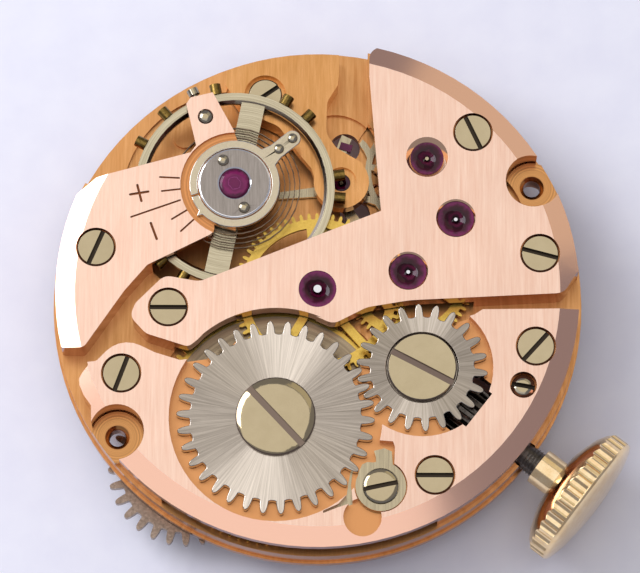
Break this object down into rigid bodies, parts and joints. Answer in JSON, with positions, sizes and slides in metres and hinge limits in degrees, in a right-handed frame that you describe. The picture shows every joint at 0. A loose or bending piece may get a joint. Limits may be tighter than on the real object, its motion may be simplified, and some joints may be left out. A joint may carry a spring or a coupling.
{
  "type": "mechanical watch movement",
  "caption": "Round manual-wind watch movement with rose-gilt bridges, a steel ratchet and crown wheel, a screwed balance under its cock, a going train and a winding stem with crown.",
  "frame": {"origin": "centre-wheel axis at the dial-side face of the main plate, which is also the centre of the two dial foot holes", "axes": "+Z out of the plate towards the bridges, +X to the right and +Y upwards in the picture; the winding stem points 37.8 degrees below +X"},
  "size_m": [0.0189, 0.0174, 0.0046],
  "materials": {
    "rose_gold": "straight-grained rose gilding",
    "gilt_brass": "matte gilding",
    "screw_steel": "polished",
    "ruby": "polished synthetic ruby",
    "wheel_steel": "brushed",
    "arbor_steel": "polished",
    "dark_steel": "hardened and turned",
    "hairspring_alloy": "drawn",
    "balance_alloy": "satin nickel alloy",
    "screw_brass": "turned",
    "wheel_brass": "gilt",
    "lid_steel": "turned",
    "crown_gold": "polished gold plate"
  },
  "bodies": {
    "frame": {"main_plate": "gilt_brass", "barrel_bridge": "rose_gold", "train_bridge": "rose_gold", "balance_cock": "rose_gold", "pallet_cock": "gilt_brass", "escape_lower_bridge": "gilt_brass", "bridge_screws": "screw_steel", "balance_cock_screw": "screw_steel", "pallet_cock_screw": "screw_steel", "lower_bridge_screws": "screw_steel", "train_jewels": "ruby", "lower_jewels": "ruby", "pallet_cock_jewel": "ruby", "balance_hole_jewel": "ruby", "cap_plate": "wheel_steel", "endstone": "ruby", "cap_screws": "screw_steel", "lower_endstone": "ruby", "hairspring_stud": "wheel_steel", "stud_screw": "screw_steel", "hairspring": "hairspring_alloy", "crown_wheel_seat": "wheel_steel", "crown_wheel_screw": "screw_steel", "click_screw": "screw_steel", "click_spring": "wheel_steel", "setting_lever_screw": "screw_steel", "yoke_spring": "dark_steel"},
    "centre": {"centre_wheel": "wheel_brass", "cannon_pinion": "arbor_steel"},
    "third": {"third_wheel": "wheel_brass"},
    "fourth": {"fourth_wheel": "wheel_brass"},
    "escape": {"escape_wheel": "wheel_steel"},
    "barrel": {"barrel_drum": "wheel_brass", "barrel_lid": "lid_steel", "mainspring": "dark_steel"},
    "winding_arbor": {"barrel_arbor": "arbor_steel", "ratchet_wheel": "wheel_steel", "ratchet_screw": "screw_steel"},
    "crown_wheel": {"crown_wheel": "wheel_steel"},
    "pallets": {"pallet_fork": "wheel_steel", "pallet_stones": "ruby", "pallet_arbor": "arbor_steel"},
    "balance": {"balance_wheel": "balance_alloy", "balance_screws": "screw_brass", "balance_staff": "arbor_steel", "roller": "arbor_steel", "collet": "screw_brass"},
    "regulator": {"regulator": "wheel_steel", "regulator_pins": "wheel_steel"},
    "click": {"click": "wheel_steel"},
    "winding_pinion": {"winding_pinion": "dark_steel"},
    "stem": {"winding_stem": "dark_steel", "crown": "crown_gold"},
    "castle": {"castle_wheel": "dark_steel"},
    "setting_lever": {"setting_lever": "dark_steel"},
    "yoke": {"yoke": "dark_steel"},
    "setting_wheel": {"setting_wheel": "dark_steel"},
    "minute_wheel": {"minute_wheel": "wheel_brass"},
    "hour_wheel": {"hour_wheel": "wheel_brass"},
    "under_wheel": {"under_wheel": "dark_steel"}
  },
  "joints": [
    {"name": "third_turn", "type": "hinge", "parent": "frame", "child": "third", "pos_m": [0.00297, 0.00062, 0.0014], "axis": [0, 0, 1], "continuous": true},
    {"name": "centre_turn", "type": "hinge", "parent": "frame", "child": "centre", "pos_m": [0, 0, 0.0012], "axis": [0, 0, 1], "continuous": true},
    {"name": "fourth_turn", "type": "hinge", "parent": "frame", "child": "fourth", "pos_m": [0.00454, 0.00242, 0.0013], "axis": [0, 0, 1], "continuous": true},
    {"name": "escape_turn", "type": "hinge", "parent": "frame", "child": "escape", "pos_m": [0.0036, 0.00452, 0.0005], "axis": [0, 0, 1], "continuous": true},
    {"name": "barrel_turn", "type": "hinge", "parent": "frame", "child": "barrel", "pos_m": [-0.00135, -0.0043, 0.0009], "axis": [0, 0, 1], "continuous": true},
    {"name": "winding_turn", "type": "hinge", "parent": "frame", "child": "winding_pinion", "pos_m": [0.0049, -0.0038, 0.001], "axis": [0.7902, -0.6129, 0], "continuous": true},
    {"name": "crown_wheel_turn", "type": "hinge", "parent": "frame", "child": "crown_wheel", "pos_m": [0.00341, -0.00263, 0.0021], "axis": [0, 0, 1], "continuous": true},
    {"name": "ratchet_turn", "type": "hinge", "parent": "frame", "child": "winding_arbor", "pos_m": [-0.00135, -0.0043, 0.0021], "axis": [0, 0, 1], "continuous": true, "deforming": ["mainspring"]},
    {"name": "balance_swing", "type": "hinge", "parent": "frame", "child": "balance", "pos_m": [-0.00274, 0.00356, 0.0018], "axis": [0, 0, 1], "range_deg": [-270, 270], "stiffness_Nm_per_rad": 0.00000004, "deforming": ["hairspring"]},
    {"name": "pallet_swing", "type": "hinge", "parent": "frame", "child": "pallets", "pos_m": [0.00078, 0.00393, 0.0005], "axis": [0, 0, 1], "range_deg": [-5, 5]},
    {"name": "regulator_turn", "type": "hinge", "parent": "frame", "child": "regulator", "pos_m": [-0.00274, 0.00356, 0.0024], "axis": [0, 0, 1], "range_deg": [-15, 15]},
    {"name": "click_lift", "type": "hinge", "parent": "frame", "child": "click", "pos_m": [0.00206, -0.0066, 0.0021], "axis": [0, 0, 1], "range_deg": [-6, 0], "stiffness_Nm_per_rad": 0.00002},
    {"name": "stem_pull", "type": "slide", "parent": "winding_pinion", "child": "stem", "axis": [0.7902, -0.6129, 0], "range_m": [0, 0.0004]},
    {"name": "castle_slide", "type": "slide", "parent": "winding_pinion", "child": "castle", "axis": [0.7902, -0.6129, 0], "range_m": [-0.0003, 0]},
    {"name": "setting_lever_turn", "type": "hinge", "parent": "frame", "child": "setting_lever", "pos_m": [0.0067, -0.00322, -0.00015], "axis": [0, 0, 1], "range_deg": [0, 14.8]},
    {"name": "yoke_turn", "type": "hinge", "parent": "frame", "child": "yoke", "pos_m": [0.00398, -0.00531, -0.00015], "axis": [0, 0, 1], "range_deg": [0, 9.9]},
    {"name": "setting_wheel_turn", "type": "hinge", "parent": "frame", "child": "setting_wheel", "pos_m": [0.00301, -0.00234, 0], "axis": [0, 0, 1], "continuous": true},
    {"name": "minute_wheel_turn", "type": "hinge", "parent": "frame", "child": "minute_wheel", "pos_m": [0.00041, -0.00236, -0.0002], "axis": [0, 0, 1], "continuous": true},
    {"name": "hour_wheel_turn", "type": "hinge", "parent": "frame", "child": "hour_wheel", "pos_m": [0, 0, -0.0004], "axis": [0, 0, 1], "continuous": true},
    {"name": "under_wheel_turn", "type": "hinge", "parent": "frame", "child": "under_wheel", "pos_m": [-0.00432, -0.0055, -0.0002], "axis": [0, 0, 1], "continuous": true}
  ],
  "couplings": [
    {"joint": "centre_turn", "follows": "third_turn", "ratio": -0.125},
    {"joint": "barrel_turn", "follows": "third_turn", "ratio": 0.01875},
    {"joint": "fourth_turn", "follows": "third_turn", "ratio": -7.8571},
    {"joint": "escape_turn", "follows": "third_turn", "ratio": 82.5},
    {"joint": "minute_wheel_turn", "follows": "third_turn", "ratio": 0.041667},
    {"joint": "hour_wheel_turn", "follows": "third_turn", "ratio": -0.010417},
    {"joint": "setting_wheel_turn", "follows": "third_turn", "ratio": -0.09375},
    {"joint": "crown_wheel_turn", "follows": "winding_turn", "ratio": -0.59091},
    {"joint": "ratchet_turn", "follows": "winding_turn", "ratio": 0.38235},
    {"joint": "castle_slide", "follows": "stem_pull", "ratio": -0.75},
    {"joint": "setting_lever_turn", "follows": "stem_pull", "rad_per_m": 640.2},
    {"joint": "yoke_turn", "follows": "stem_pull", "rad_per_m": 428.57}
  ]
}
